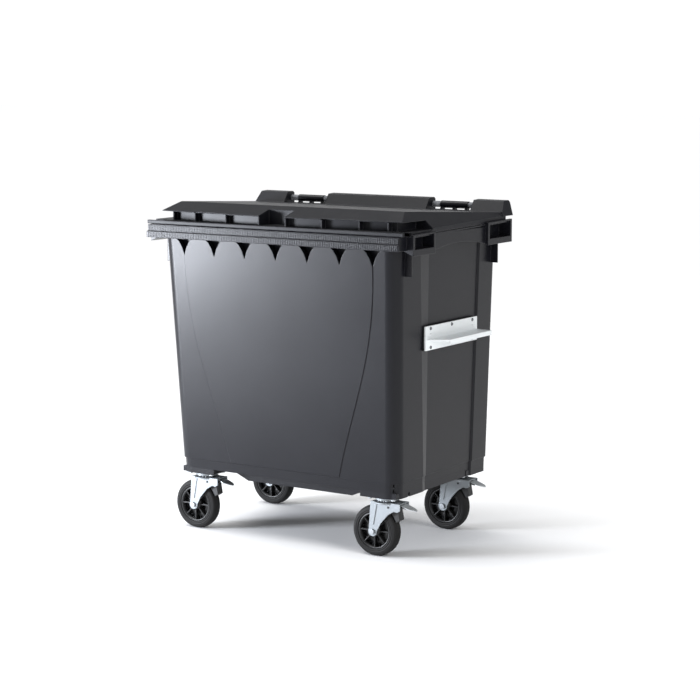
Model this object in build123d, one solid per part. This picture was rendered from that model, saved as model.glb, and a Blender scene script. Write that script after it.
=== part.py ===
from build123d import *
import math
import os

# Four-wheeled flat-lid waste container, about 770 litres.
# Millimetres. +X is the width, the comb rim at the front faces -Y, +Z is up.
# The origin is on the ground, below the middle of the overall box.

# ---- container body ------------------------------------------------------
BODY_TOP_HALF = 547.0        # half width of the side walls under the rim
BODY_BASE_HALF = 517.0       # half width at the foot of the walls
FRONT_TOP = -348.0           # front wall under the rim
FRONT_BASE = -293.0          # front wall at its foot
REAR_TOP = 404.0
REAR_BASE = 404.0
FRONT_CORNER_R = 50.0
REAR_CORNER_R = 22.0
CAVITY_CORNER_R = 28.0
WALL = 5.0
POST_PROUD = 7.0             # corner posts stand this far out of the side panel
POST_FRONT_TOP = -176.0      # rear edge of the front post, at the top
POST_FRONT_BASE = -96.0
POST_SLOPE_TOP = 74.0        # length of the slanted step behind the front post
POST_SLOPE_BASE = 28.0
POST_REAR = 272.0            # front edge of the rear post
FLOOR_Z = 262.0              # underside of the floor and of the front skirt
FLOOR_T = 6.0
FOOT_BAND_Z = 300.0          # top of the band that is set in at the foot
FOOT_BAND_IN = 4.0
SKIRT_GAP_X = (480.0, 530.0)              # drain gap in the front skirt near each corner
SKIRT_GAP_Y = (-206.0, -190.0)
SKIRT_GAP_H = 16.0
SIDE_SKIRT_Z = 240.0
BELLY_Z = 212.0              # underside of the deeper belly between the castors
BELLY_TOP_HALF = 320.0
BELLY_BASE_HALF = 250.0
BELLY_FRONT = -190.0
BELLY_REAR = 270.0
DRAIN_Y = 40.0
DRAIN_R = 30.0               # drain hole and its screw-in plug
PAD_OUT = 8.0                # castor pads reach this far past the plate towards the middle

# ---- rim and comb --------------------------------------------------------
RIM_HALF = 588.0
RIM_FRONT = -400.0           # front face of the lower comb band
BAND_SET_BACK = 7.0          # the upper band stands back from the lower one
BAND_LOW_Z = 1197.0
BAND_MID_Z = 1222.0
RIM_TOP_FRONT = 1248.0       # the rim's top rises to the rear
RIM_TOP_REAR = 1261.0
RIM_REAR = 414.0
RIM_T = 6.0
BAND_T = 6.0
SKIRT_HALF = 600.0           # side skirt between the corner grips
SKIRT_LOW_Z = 1183.0
SKIRT_ARCH = 20.0
POCKET_PITCH = 147.0
POCKET_COUNT = 7
POCKET_WIDTH = 84.0
POCKET_TIP_Z = 1128.0
POCKET_DEPTH = 30.0
BAND_RIB_PITCH = 8.0         # fine upright ribs on both comb bands
BAND_RIB_W = 5.2
BAND_RIB_PROUD = 0.8

# ---- corner grips --------------------------------------------------------
GRIP_HALF = 614.0
GRIP_FLOOR_HALF = 562.0      # bottom of the hollow, measured from the middle
GRIP_WALL = 6.0
GRIP_LOW_Z = 1177.0          # underside of the grips' outer lip
FRONT_GRIP = (-338.0, -178.0)             # front and rear ends
REAR_GRIP = (222.0, 414.0)
GRIP_RISE = 7.0              # the grips stand this far above the rim
GRIP_LIP = 24.0              # height of the lip below the opening
GRIP_UNDERCUT = 17.0         # the underside rises this much towards the wall
GUSSET_OUT = 27.0
GUSSET_T = 6.0
GUSSET_LOW_Z = 1094.0
FRONT_GUSSET_Y = -282.0
REAR_GUSSET_Y = 371.0

# ---- lid -----------------------------------------------------------------
LID_HALF = 600.0
LID_FRONT = -382.0
LID_GAP = 2.0                # between the rim and the lid's lower lip
LID_WALL = 4.5
LIP_H = 14.0
FLANGE_Y = -374.0
FLANGE_Z = 1298.0            # underside of the front grip flange
FLANGE_STEP = 3.5
CREST_Y = -262.0             # front edge of the flat top
CREST_Z = 1334.0
CREST_HALF = 524.0
TOP_REAR_Z = 1296.0
TOP_REAR_HALF = 588.0
RECESS_DEPTH = 27.0          # finger recess under the flange
RECESS_SIDE_END = -176.0
RECESS_SIDE_HALF = 526.0     # inner wall of the side finger recess
FRONT_BOW = 45.0             # the flange's ends stand back this far
CREST_BOW = 12.0             # the crest's ends stand back this far
BOW_HALF = 560.0             # half width at which both are measured
SIDE_FOOT_Z = 1266.0         # where the crown's slanted sides reach the lid's edge
LID_RIBS = (224.0, 384.0, 502.0)
LID_RIB_T = 4.5
NOTCH_HALF = 60.0
NOTCH_REAR = -302.0
RIDGE_FRONT = 358.0
RIDGE_CREST_FRONT = 388.0
RIDGE_REAR = 436.0
RIDGE_TOP_Z = 1340.0
RIDGE_LOW_Z = 1280.0
RIDGE_TOP_HALF = 590.0
RIDGE_BASE_HALF = 606.0

# ---- hinges --------------------------------------------------------------
HINGE_Y = 420.0
HINGE_Z = 1313.0
HINGE_X = 350.0              # middle of each hinge
HINGE_SLOT_HALF = 103.0      # half length of the gap in the ridge
KNUCKLE_HALF = 63.0
KNUCKLE_R = 15.0
PIN_R = 6.0
RUN_FIT = 0.08               # radial running clearance
BUSH_R = 12.5
EAR_T = 7.0
HINGE_GAP = 0.6
WEB_T = 12.0                 # webs that carry each knuckle

# ---- side lifting brackets ----------------------------------------------
BRACKET_FACE = 548.0         # outer face of the plate
BRACKET_T = 6.0
BRACKET_Y = (-138.0, 256.0)
BRACKET_Z = (797.0, 890.0)
BRACKET_BOLT_IN = 38.0
BRACKET_BOLT_EDGE = 10.0
TONGUE_Z = 839.0
TONGUE_T = 5.0
TONGUE_REACH = 618.0
TONGUE_LEAD = 62.0
TONGUE_LIP = 18.0
BRACKET_BOLT_R = 4.0
SPARE_HOLE_R = 3.0

# ---- castors -------------------------------------------------------------
CASTOR_X = 432.5
CASTOR_Y = (-225.0, 305.0)
PLATE_TOP = 242.0
PLATE_L = 140.0
PLATE_W = 106.0
PLATE_T = 5.0
PLATE_CLEAR = 1.0
PLATE_HOLES = (105.0, 80.0)
MOUNT_BOLT_R = 5.0
MOUNT_HOLE_R = 5.5
DISH_R = 46.0
DISH_Z = 225.5
CROWN_R = 50.0
CROWN_Z = 214.0
CROWN_T = 5.0
BALL_R = 3.0
BALL_RING_R = 34.0
BALL_COUNT = 18
KINGPIN_R = 9.0
TRAIL = 45.0
WHEEL_R = 100.0
TYRE_W = 50.0
TYRE_INNER_R = 72.0
TYRE_SHOULDER_R = 13.0
HUB_W = 44.0
FORK_INNER = 30.0            # inner face of each leg, from the middle
FORK_T = 4.0
AXLE_BOSS_R = 19.0
AXLE_R = 6.0
BEARING_R = 13.0
BRAKE_PIVOT_X = 26.0
BRAKE_PIVOT_Z = 202.0
TRUNNION_R = 4.0
SHOE_GAP = 6.0
PEDAL_REACH = 134.0
FORK_END_X = 78.0            # the legs' crown ends above the brake
BEAD_PROUD = 2.5             # pressed stiffening bead down each leg

# ---- placing --------------------------------------------------------------
MIDDLE_Y = (RIM_FRONT + RIDGE_REAR) / 2   # middle of the depth, put at Y = 0 when a piece is saved


def rim_plane(lift=0.0):
    """Plane of the rim's top, which rises gently to the rear."""
    slope = math.atan2(RIM_TOP_REAR - RIM_TOP_FRONT, RIM_REAR - RIM_FRONT)
    middle_z = (RIM_TOP_FRONT + RIM_TOP_REAR) / 2 + lift
    normal = (0, -math.sin(slope), math.cos(slope))
    return Plane(origin=(0, (RIM_REAR + RIM_FRONT) / 2, middle_z), x_dir=(1, 0, 0), z_dir=normal)


def box(x0, x1, y0, y1, z0, z1):
    """Block between two opposite corners."""
    centre = ((x0 + x1) / 2, (y0 + y1) / 2, (z0 + z1) / 2)
    return Pos(*centre) * Box(abs(x1 - x0), abs(y1 - y0), abs(z1 - z0))


def rod(start, direction, radius, length):
    """Cylinder from a point along a direction."""
    return extrude(Plane(origin=start, z_dir=direction) * Circle(radius), length)


def prism_x(points, x0, x1):
    """Outline in (y, z), stretched along X."""
    face = make_face(Polyline(*[(0, y, z) for y, z in points], close=True).edges())
    return Pos(x0, 0, 0) * extrude(face, x1 - x0, dir=(1, 0, 0))


def prism_y(points, y0, y1):
    """Outline in (x, z), stretched along Y."""
    face = make_face(Polyline(*[(x, 0, z) for x, z in points], close=True).edges())
    return Pos(0, y0, 0) * extrude(face, y1 - y0, dir=(0, 1, 0))


def prism_z(points, z0, z1):
    """Outline in (x, y), stretched along Z."""
    face = make_face(Polyline(*[(x, y, 0) for x, y in points], close=True).edges())
    return Pos(0, 0, z0) * extrude(face, z1 - z0, dir=(0, 0, 1))


def both_sides(shape):
    """The shape with its mirror image across the middle of the width."""
    return shape + mirror(shape, Plane.YZ)


def blend(z, low_value, high_value, low_z=FLOOR_Z, high_z=BAND_LOW_Z):
    """Value on a straight line between two heights."""
    return low_value + (high_value - low_value) * (z - low_z) / (high_z - low_z)


# ---- container body ------------------------------------------------------
def body_outline(z, inset=0.0):
    """Plan of the walls at one height, with the sunk side panels."""
    half = blend(z, BODY_BASE_HALF, BODY_TOP_HALF) - inset
    front = blend(z, FRONT_BASE, FRONT_TOP) + inset
    rear = blend(z, REAR_BASE, REAR_TOP) - inset
    post = blend(z, POST_FRONT_BASE, POST_FRONT_TOP)
    slope = blend(z, POST_SLOPE_BASE, POST_SLOPE_TOP)
    sunk = half - POST_PROUD
    right = [(half, front), (half, post), (sunk, post + slope)]
    right += [(sunk, POST_REAR), (half, POST_REAR + 5), (half, rear)]
    left = [(-x, y) for x, y in reversed(right)]
    plan = make_face(Polyline(*[(x, y, 0) for x, y in right + left], close=True).edges())
    corners = plan.vertices().group_by(Axis.Y)
    plan = fillet(corners[0], FRONT_CORNER_R)
    plan = fillet(plan.vertices().group_by(Axis.Y)[-1], REAR_CORNER_R)
    return Pos(0, 0, z) * plan


def cavity_outline(z):
    """Plan of the smooth inside at one height."""
    inset = WALL + POST_PROUD
    half = blend(z, BODY_BASE_HALF, BODY_TOP_HALF) - inset
    front = blend(z, FRONT_BASE, FRONT_TOP) + WALL + FOOT_BAND_IN
    rear = blend(z, REAR_BASE, REAR_TOP) - WALL - FOOT_BAND_IN
    plan = Pos(0, (front + rear) / 2) * RectangleRounded(2 * half, rear - front, CAVITY_CORNER_R)
    return Pos(0, 0, z) * plan


def belly(inset=0.0):
    """Deeper middle of the floor, with sloping ends, between the castors."""
    low = BELLY_Z + inset
    high = FLOOR_Z + FLOOR_T
    profile = [(-BELLY_TOP_HALF + inset, high), (-BELLY_TOP_HALF + inset, PLATE_TOP)]
    profile += [(-BELLY_BASE_HALF + inset / 2, low), (BELLY_BASE_HALF - inset / 2, low)]
    profile += [(BELLY_TOP_HALF - inset, PLATE_TOP), (BELLY_TOP_HALF - inset, high)]
    return prism_y(profile, BELLY_FRONT + inset, BELLY_REAR - inset)


def front_wall_plane():
    """Plane of the leaning front wall, its own +Y running up the wall."""
    lean = math.atan2(FRONT_BASE - FRONT_TOP, BAND_LOW_Z - FLOOR_Z)
    normal = (0, -math.cos(lean), -math.sin(lean))
    return Plane(origin=(0, FRONT_BASE, FLOOR_Z), x_dir=(1, 0, 0), z_dir=normal)


def front_panel():
    """Slightly raised middle of the front wall, between two curved creases."""
    proud = 2.5
    foot = FOOT_BAND_Z + 4 - FLOOR_Z
    head = BAND_LOW_Z - FLOOR_Z
    bend = (3 * POCKET_PITCH - 9, 705)
    right = Spline((3 * POCKET_PITCH, head - 60), bend, (402, 530), (359, 376), (259, foot))
    left = mirror(right, Plane.YZ)
    top = Polyline(left @ 0, (-3 * POCKET_PITCH, head), (3 * POCKET_PITCH, head), right @ 0)
    outline = [right, Line(right @ 1, left @ 1), left, top]
    face = make_face(Curve() + outline)
    return front_wall_plane() * extrude(face, proud, both=True)


def comb_pocket(grow=0.0):
    """Tapering pocket between two scallops of the comb, at the middle of the front."""
    half = POCKET_WIDTH / 2 + grow
    tip = POCKET_TIP_Z - grow * 2
    top = BAND_LOW_Z + 30 + grow
    shoulder = BAND_LOW_Z - 24
    points = [(0, tip), (half * 0.28, shoulder - 12), (half * 0.62, shoulder + 10), (half, BAND_LOW_Z)]
    points += [(half, top)]
    outline = points + [(-x, z) for x, z in reversed(points[1:])]
    return prism_y(outline, FRONT_TOP - 12, FRONT_TOP + POCKET_DEPTH + grow)


def corner_grip(limits):
    """Open box that stands out at one corner, for a hand or a lifting arm."""
    front, rear = limits
    top = RIM_TOP_REAR + GRIP_RISE + 5
    root = BODY_TOP_HALF - 14
    block = box(root, GRIP_HALF, front, rear, GRIP_LOW_Z, top)
    block = split(block, bisect_by=rim_plane(GRIP_RISE), keep=Keep.BOTTOM)
    shoulder = box(root - 5, LID_HALF + 3, front - 1, rear + 1, BAND_LOW_Z, top + 5)
    shoulder = split(shoulder, bisect_by=rim_plane(), keep=Keep.TOP)
    hollow_y = (front + 2 * GRIP_WALL, rear - 2 * GRIP_WALL)
    hollow = box(GRIP_FLOOR_HALF, GRIP_HALF + 5, *hollow_y, GRIP_LOW_Z + GRIP_LIP, top)
    hollow = split(hollow, bisect_by=rim_plane(GRIP_RISE - GRIP_WALL), keep=Keep.BOTTOM)
    flange = box(root, LID_HALF + 3, front, rear, BAND_LOW_Z, top)
    hollow -= split(flange, bisect_by=rim_plane(-RIM_T), keep=Keep.TOP)
    slope = [(root - 5, GRIP_LOW_Z - 1), (GRIP_HALF, GRIP_LOW_Z - 1), (GRIP_HALF, GRIP_LOW_Z)]
    slope += [(GRIP_HALF - 40, GRIP_LOW_Z + GRIP_UNDERCUT), (root - 5, GRIP_LOW_Z + GRIP_UNDERCUT)]
    return block - shoulder - hollow - prism_y(slope, front - 1, rear + 1)


def container_body():
    """One moulding: walls, floor with belly, castor pads, comb rim, grips and hinge knuckles."""
    top_z = RIM_TOP_REAR + 12
    walls = loft(Sketch() + [body_outline(FOOT_BAND_Z), body_outline(top_z)])
    walls = split(walls, bisect_by=rim_plane(), keep=Keep.BOTTOM)
    foot = loft(Sketch() + [body_outline(FLOOR_Z, FOOT_BAND_IN), body_outline(FOOT_BAND_Z, FOOT_BAND_IN)])
    cavity = loft(Sketch() + [cavity_outline(FLOOR_Z + FLOOR_T), cavity_outline(top_z + 1)])
    shell = walls + foot + front_panel()
    skirt_ring = extrude(body_outline(FLOOR_Z, FOOT_BAND_IN), SIDE_SKIRT_Z - FLOOR_Z)
    skirt_ring -= extrude(body_outline(FLOOR_Z, FOOT_BAND_IN + WALL), SIDE_SKIRT_Z - FLOOR_Z)
    low = SIDE_SKIRT_Z - 1
    middle_half = BELLY_TOP_HALF + 30
    skirt_ring -= box(-middle_half, middle_half, FRONT_BASE - 20, FRONT_BASE + 60, low, FLOOR_Z)
    skirt_ring -= both_sides(box(*SKIRT_GAP_X, *SKIRT_GAP_Y, low, SIDE_SKIRT_Z + SKIRT_GAP_H))
    for y in CASTOR_Y:
        reach_x = PLATE_L / 2 + PLATE_CLEAR
        reach_y = PLATE_W / 2 + PLATE_CLEAR
        around = box(CASTOR_X - reach_x, CASTOR_X + reach_x, y - reach_y, y + reach_y, low, PLATE_TOP)
        skirt_ring -= both_sides(around)
    shell += skirt_ring
    for y in CASTOR_Y:
        pad_x = (CASTOR_X - PLATE_L / 2 - PAD_OUT, CASTOR_X + PLATE_L / 2 + PAD_OUT - 2)
        pad_y = (y - PLATE_W / 2 - 4, y + PLATE_W / 2 - 3)
        shell += both_sides(box(*pad_x, *pad_y, PLATE_TOP, FLOOR_Z + 1))
    shell += belly()
    shell += comb_rim()
    cavity = cavity + belly(WALL)
    for index in range(POCKET_COUNT):
        x = (index - (POCKET_COUNT - 1) / 2) * POCKET_PITCH
        cavity -= Pos(x, 0, 0) * comb_pocket(WALL)
    shell -= cavity
    for index in range(POCKET_COUNT):
        x = (index - (POCKET_COUNT - 1) / 2) * POCKET_PITCH
        shell -= Pos(x, 0, 0) * comb_pocket()
    shell += hinge_knuckles()
    for hole in castor_bolt_points():
        shell -= rod((hole[0], hole[1], PLATE_TOP - 1), (0, 0, 1), MOUNT_HOLE_R, 60)
    for y, z in bracket_bolt_points():
        shell -= both_sides(rod((BODY_BASE_HALF - 40, y, z), (1, 0, 0), BRACKET_BOLT_R + 0.5, 90))
    shell -= rod((0, DRAIN_Y, BELLY_Z - 1), (0, 0, 1), DRAIN_R + 0.4, 20)
    return shell


def comb_rim():
    """Rim round the mouth: front comb bands, top flange, side skirts, grips and gussets."""
    top_z = RIM_TOP_REAR + 20
    upper_front = RIM_FRONT + BAND_SET_BACK
    lower_front = RIM_FRONT + BAND_RIB_PROUD
    inner_half = RIM_HALF - 3
    lower = box(-RIM_HALF, RIM_HALF, lower_front, lower_front + BAND_T, BAND_LOW_Z, BAND_MID_Z)
    upper = box(-inner_half, inner_half, upper_front, upper_front + BAND_T, BAND_MID_Z - 5, RIM_TOP_FRONT - 1)
    step = box(-inner_half, inner_half, lower_front, upper_front + BAND_T, BAND_MID_Z - 5, BAND_MID_Z)
    ends = box(RIM_HALF - 8, inner_half, upper_front, FRONT_GRIP[0] + 4, BAND_LOW_Z, RIM_TOP_FRONT - 1)
    rim = lower + upper + step + both_sides(ends)
    count = int(2 * RIM_HALF / BAND_RIB_PITCH) - 1
    ribs = []
    for index in range(count):
        x = -RIM_HALF + (index + 1) * BAND_RIB_PITCH
        across = (x - BAND_RIB_W / 2, x + BAND_RIB_W / 2)
        upper_y = (upper_front - BAND_RIB_PROUD, upper_front + 1)
        ribs.append(box(*across, *upper_y, BAND_MID_Z + 2, RIM_TOP_FRONT - 3))
        ribs.append(box(*across, RIM_FRONT, lower_front + 1, BAND_LOW_Z + 2, BAND_MID_Z - 2))
    for index in range(0, POCKET_COUNT + 1):
        x = (index - POCKET_COUNT / 2) * POCKET_PITCH
        web = box(x - 2.5, x + 2.5, upper_front + 1, FRONT_TOP + 4, BAND_LOW_Z + 6, RIM_TOP_FRONT - 2)
        ribs.append(web)
    flange_outer = box(-inner_half, inner_half, upper_front, RIM_REAR, BAND_LOW_Z, top_z)
    flange_outer += box(-SKIRT_HALF, SKIRT_HALF, FRONT_GRIP[0], RIM_REAR, BAND_LOW_Z, top_z)
    flange = split(flange_outer, bisect_by=rim_plane(), keep=Keep.BOTTOM)
    flange = split(flange, bisect_by=rim_plane(-RIM_T), keep=Keep.TOP)
    rear_band = box(-SKIRT_HALF, SKIRT_HALF, RIM_REAR - BAND_T, RIM_REAR, BAND_LOW_Z + 6, RIM_TOP_REAR - 2)
    skirt_y = (FRONT_GRIP[1] - 2, REAR_GRIP[0] + 2)
    skirt = box(SKIRT_HALF - WALL, SKIRT_HALF, *skirt_y, SKIRT_LOW_Z, RIM_TOP_FRONT)
    chord = REAR_GRIP[0] - FRONT_GRIP[1]
    arch_r = (chord * chord / 4 + SKIRT_ARCH ** 2) / (2 * SKIRT_ARCH)
    middle = (REAR_GRIP[0] + FRONT_GRIP[1]) / 2
    arch = rod((SKIRT_HALF - 20, middle, SKIRT_LOW_Z + SKIRT_ARCH - arch_r), (1, 0, 0), arch_r, 40)
    skirt -= arch
    rim += flange + rear_band + both_sides(skirt)
    for limits in (FRONT_GRIP, REAR_GRIP):
        rim += both_sides(corner_grip(limits))
    for y in (FRONT_GUSSET_Y, REAR_GUSSET_Y):
        wall_x = BODY_TOP_HALF - 10
        gusset_top = GRIP_LOW_Z + GRIP_UNDERCUT + 5
        edge = GUSSET_T / 2
        gusset = box(wall_x, wall_x + 10 + GUSSET_OUT, y - edge, y + edge, GUSSET_LOW_Z, gusset_top)
        rim += both_sides(gusset)
    return rim + ribs


def hinge_knuckles():
    """Two bored knuckles on webs that rise from the rear rim."""
    parts = []
    for side in (-1, 1):
        middle = side * HINGE_X
        tube = rod((middle - KNUCKLE_HALF, HINGE_Y, HINGE_Z), (1, 0, 0), KNUCKLE_R, 2 * KNUCKLE_HALF)
        root = RIM_TOP_REAR - 4
        section = [(HINGE_Y - 10, HINGE_Z), (HINGE_Y + 9, HINGE_Z), (RIM_REAR, root), (RIM_REAR - 20, root)]
        for offset in ((WEB_T / 2) - KNUCKLE_HALF, 0, KNUCKLE_HALF - WEB_T / 2):
            tube += prism_x(section, middle + offset - WEB_T / 2, middle + offset + WEB_T / 2)
        bore_start = (middle - KNUCKLE_HALF - 1, HINGE_Y, HINGE_Z)
        bore = rod(bore_start, (1, 0, 0), PIN_R + RUN_FIT, 2 * KNUCKLE_HALF + 2)
        parts.append(tube - bore)
    return parts[0] + parts[1]


def drain_plug():
    """Screw-in plug for the belly's drain, with a grip bar below."""
    body = rod((0, DRAIN_Y, BELLY_Z - 4), (0, 0, 1), DRAIN_R, 16)
    flange = rod((0, DRAIN_Y, BELLY_Z - 8), (0, 0, 1), DRAIN_R + 9, 5)
    bar = box(-22, 22, DRAIN_Y - 4, DRAIN_Y + 4, BELLY_Z - 18, BELLY_Z - 7)
    return body + flange + bar


def drain_seal():
    """Flat rubber ring between the plug's flange and the belly."""
    ring = rod((0, DRAIN_Y, BELLY_Z - 3), (0, 0, 1), DRAIN_R + 7, 3)
    return ring - rod((0, DRAIN_Y, BELLY_Z - 4), (0, 0, 1), DRAIN_R, 5)


# ---- lid -----------------------------------------------------------------
def three_point_plane(first, second, third, inset=0.0):
    """Plane through three points, its normal pointing up and outward, moved inward."""
    a, b, c = Vector(*first), Vector(*second), Vector(*third)
    normal = (b - a).cross(c - a).normalized()
    if normal.Z < 0:
        normal = -normal
    return Plane(origin=a - normal * inset, z_dir=normal)


def bowed_plan(front, bow):
    """Plan whose front edge is a shallow arc and whose rear lies behind the lid."""
    left = (-BOW_HALF, front + bow)
    right = (BOW_HALF, front + bow)
    arc = ThreePointArc(left, (0, front), right)
    rear = RIDGE_REAR + 50
    reach = LID_HALF + 30
    tail = bow * (reach - BOW_HALF) / BOW_HALF * 2
    end_y = front + bow + tail
    around = Polyline(right, (reach, end_y), (reach, rear), (-reach, rear), (-reach, end_y), left)
    return make_face(Curve() + [arc, around])


def bowed_front(front, bow, low, high):
    """Upright block behind the arc of the lid's front edge."""
    return Pos(0, 0, low) * extrude(bowed_plan(front, bow), high - low, dir=(0, 0, 1))


def bowed_slope():
    """Block below the front slope, which runs from the flange's arc up to the flatter crest."""
    low = FLANGE_Z + 3
    drop = low - (RIM_TOP_FRONT - 10)
    run = (CREST_Y - FLANGE_Y) / (CREST_Z - low)
    flatten = (FRONT_BOW - CREST_BOW) / (CREST_Z - low)
    above = 8.0
    foot = Pos(0, 0, low - drop) * bowed_plan(FLANGE_Y - run * drop, FRONT_BOW + flatten * drop)
    head = Pos(0, 0, CREST_Z + above) * bowed_plan(CREST_Y + run * above, CREST_BOW - flatten * above)
    return loft(Sketch() + [foot, head], ruled=True)


def lid_crown(inset=0.0):
    """Flat top with sloping front and sides, as a solid block."""
    bottom = RIM_TOP_FRONT - 10
    half = LID_HALF - inset
    block = box(-half, half, FLANGE_Y + inset, RIDGE_CREST_FRONT - inset, bottom, CREST_Z + 10)
    crest = (0, CREST_Y, CREST_Z)
    top = three_point_plane(crest, (100, CREST_Y, CREST_Z), (0, RIDGE_FRONT, TOP_REAR_Z), inset)
    side_foot = (LID_HALF, FLANGE_Y, SIDE_FOOT_Z)
    rear_corner = (TOP_REAR_HALF, RIDGE_FRONT, TOP_REAR_Z)
    right = three_point_plane(side_foot, (CREST_HALF, CREST_Y, CREST_Z), rear_corner, inset)
    block = split(block, bisect_by=top, keep=Keep.BOTTOM)
    block &= bowed_front(FLANGE_Y + inset, FRONT_BOW, bottom, CREST_Z + 10)
    block &= Pos(0, 0, -inset) * bowed_slope()
    block = split(block, bisect_by=right, keep=Keep.BOTTOM)
    at, facing = right.origin, right.z_dir
    left = Plane(origin=(-at.X, at.Y, at.Z), z_dir=(-facing.X, facing.Y, facing.Z))
    return split(block, bisect_by=left, keep=Keep.BOTTOM)


def ridge_profile(inset, low):
    """Section of the ridge that covers the hinge line, in (y, z)."""
    return [(RIDGE_FRONT + inset, low), (RIDGE_FRONT + inset, TOP_REAR_Z - inset),
            (RIDGE_CREST_FRONT + inset * 0.6, RIDGE_TOP_Z - 2 - inset), (RIDGE_REAR - 9, RIDGE_TOP_Z - inset),
            (RIDGE_REAR - inset, RIDGE_TOP_Z - 8 - inset), (RIDGE_REAR - inset, low)]


def ridge(inset=0.0):
    """Ridge along the rear, with its ends leaning inward to the top."""
    low = RIDGE_LOW_Z if inset == 0 else BAND_LOW_Z
    block = prism_x(ridge_profile(inset, low), -RIDGE_BASE_HALF + inset, RIDGE_BASE_HALF - inset)
    foot = (RIDGE_BASE_HALF, 0, RIDGE_LOW_Z)
    foot_behind = (RIDGE_BASE_HALF, 100, RIDGE_LOW_Z)
    lean = three_point_plane(foot, foot_behind, (RIDGE_TOP_HALF, 0, RIDGE_TOP_Z), inset)
    block = split(block, bisect_by=lean, keep=Keep.BOTTOM)
    other = Plane(origin=(-lean.origin.X, 0, lean.origin.Z), z_dir=(-lean.z_dir.X, 0, lean.z_dir.Z))
    return split(block, bisect_by=other, keep=Keep.BOTTOM)


def lid():
    """One moulding: shallow crown, grip flange, lower lip, notch and hinge ridge."""
    crown = lid_crown()
    recess_top = FLANGE_Z
    recess_low = RIM_TOP_FRONT + LID_GAP + LIP_H
    wide = LID_HALF + 20
    deep = FLANGE_Y + FRONT_BOW + RECESS_DEPTH + 30
    recess = box(-wide, wide, FLANGE_Y - 20, deep, recess_low, recess_top)
    recess -= bowed_front(FLANGE_Y + RECESS_DEPTH, FRONT_BOW, recess_low - 1, recess_top + 1)
    recess += both_sides(box(RECESS_SIDE_HALF, wide, FLANGE_Y - 20, RECESS_SIDE_END, recess_low, recess_top))
    lip = box(-LID_HALF + 4, LID_HALF - 4, LID_FRONT, FLANGE_Y + 4, RIM_TOP_FRONT - 4, recess_low)
    crown += lip
    inner = lid_crown(LID_WALL)
    low = BAND_LOW_Z
    behind_recess = box(-wide, wide, FLANGE_Y - 20, deep, low, recess_top + LID_WALL)
    behind_recess -= bowed_front(FLANGE_Y + RECESS_DEPTH + LID_WALL, FRONT_BOW, low - 1, CREST_Z)
    inner -= behind_recess
    side_recess_y = (FLANGE_Y - 20, RECESS_SIDE_END + LID_WALL)
    inner -= both_sides(box(RECESS_SIDE_HALF - LID_WALL, wide, *side_recess_y, low, recess_top + LID_WALL))
    side = LID_HALF - 12
    inner += box(-side, side, LID_FRONT + LID_WALL, deep, low, recess_low - LID_WALL)
    below = recess_low - LID_WALL
    inner += both_sides(box(RECESS_SIDE_HALF - 20, side, deep - 1, RECESS_SIDE_END + 10, low, below))
    notch = box(-NOTCH_HALF, NOTCH_HALF, LID_FRONT - 10, NOTCH_REAR, recess_low, CREST_Z + 20)
    notch_side = NOTCH_HALF + LID_WALL
    notch_y = (FLANGE_Y - 30, NOTCH_REAR + LID_WALL)
    inner -= box(-notch_side, notch_side, *notch_y, recess_low - LID_WALL, CREST_Z + 20)
    shell = crown - recess
    rib_stock = lid_crown() & bowed_front(FLANGE_Y + 4, FRONT_BOW, recess_low - 1, recess_top + 1)
    rib_stock -= bowed_front(FLANGE_Y + RECESS_DEPTH + 2, FRONT_BOW, recess_low - 2, recess_top + 2)
    for x in LID_RIBS + (NOTCH_HALF + LID_WALL / 2,):
        slab = box(x - LID_RIB_T / 2, x + LID_RIB_T / 2, FLANGE_Y, deep, low, CREST_Z)
        shell += both_sides(rib_stock & slab)
    raised_y = (FLANGE_Y - 20, FLANGE_Y + 26)
    raised = box(LID_RIBS[0], LID_RIBS[1], *raised_y, recess_top - 1, recess_top + FLANGE_STEP)
    shell -= both_sides(raised)
    cap = ridge()
    solid = shell + cap - inner
    hollow_ridge = ridge(LID_WALL)
    solid -= hollow_ridge & box(-LID_HALF, LID_HALF, RIDGE_CREST_FRONT, RIDGE_REAR, low, RIDGE_TOP_Z)
    solid -= hollow_ridge & box(-LID_HALF, LID_HALF, RIDGE_FRONT + 6, RIDGE_REAR, TOP_REAR_Z + 1, RIDGE_TOP_Z)
    under = box(-wide, wide, LID_FRONT - 10, RIDGE_REAR + 20, SKIRT_LOW_Z - 30, RIM_TOP_REAR + 30)
    under = split(under, bisect_by=rim_plane(LID_GAP), keep=Keep.BOTTOM)
    solid -= under
    solid -= notch
    ear_outline = [(RIDGE_FRONT + 2, TOP_REAR_Z - 4), (RIDGE_CREST_FRONT, RIDGE_TOP_Z - 3)]
    ear_outline += [(RIDGE_REAR - 2, RIDGE_TOP_Z - 6), (RIDGE_REAR - 2, HINGE_Z - 16)]
    ear_outline += [(HINGE_Y, HINGE_Z - 22), (HINGE_Y - 16, HINGE_Z - 22)]
    rear = RIDGE_REAR + 30
    for hand in (-1, 1):
        middle = hand * HINGE_X
        start = middle - HINGE_SLOT_HALF
        stop = middle + HINGE_SLOT_HALF
        solid -= box(start, stop, RIDGE_FRONT - 1, rear, TOP_REAR_Z + 0.5, RIDGE_TOP_Z + 20)
        solid -= box(start, stop, RIDGE_CREST_FRONT, rear, low, TOP_REAR_Z + 2)
        solid += prism_x(ear_outline, start - EAR_T, start)
        solid += prism_x(ear_outline, stop, stop + EAR_T)
        bore_half = HINGE_SLOT_HALF + EAR_T + 3
        solid -= rod((middle - bore_half, HINGE_Y, HINGE_Z), (1, 0, 0), PIN_R, 2 * bore_half)
    return solid


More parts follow.
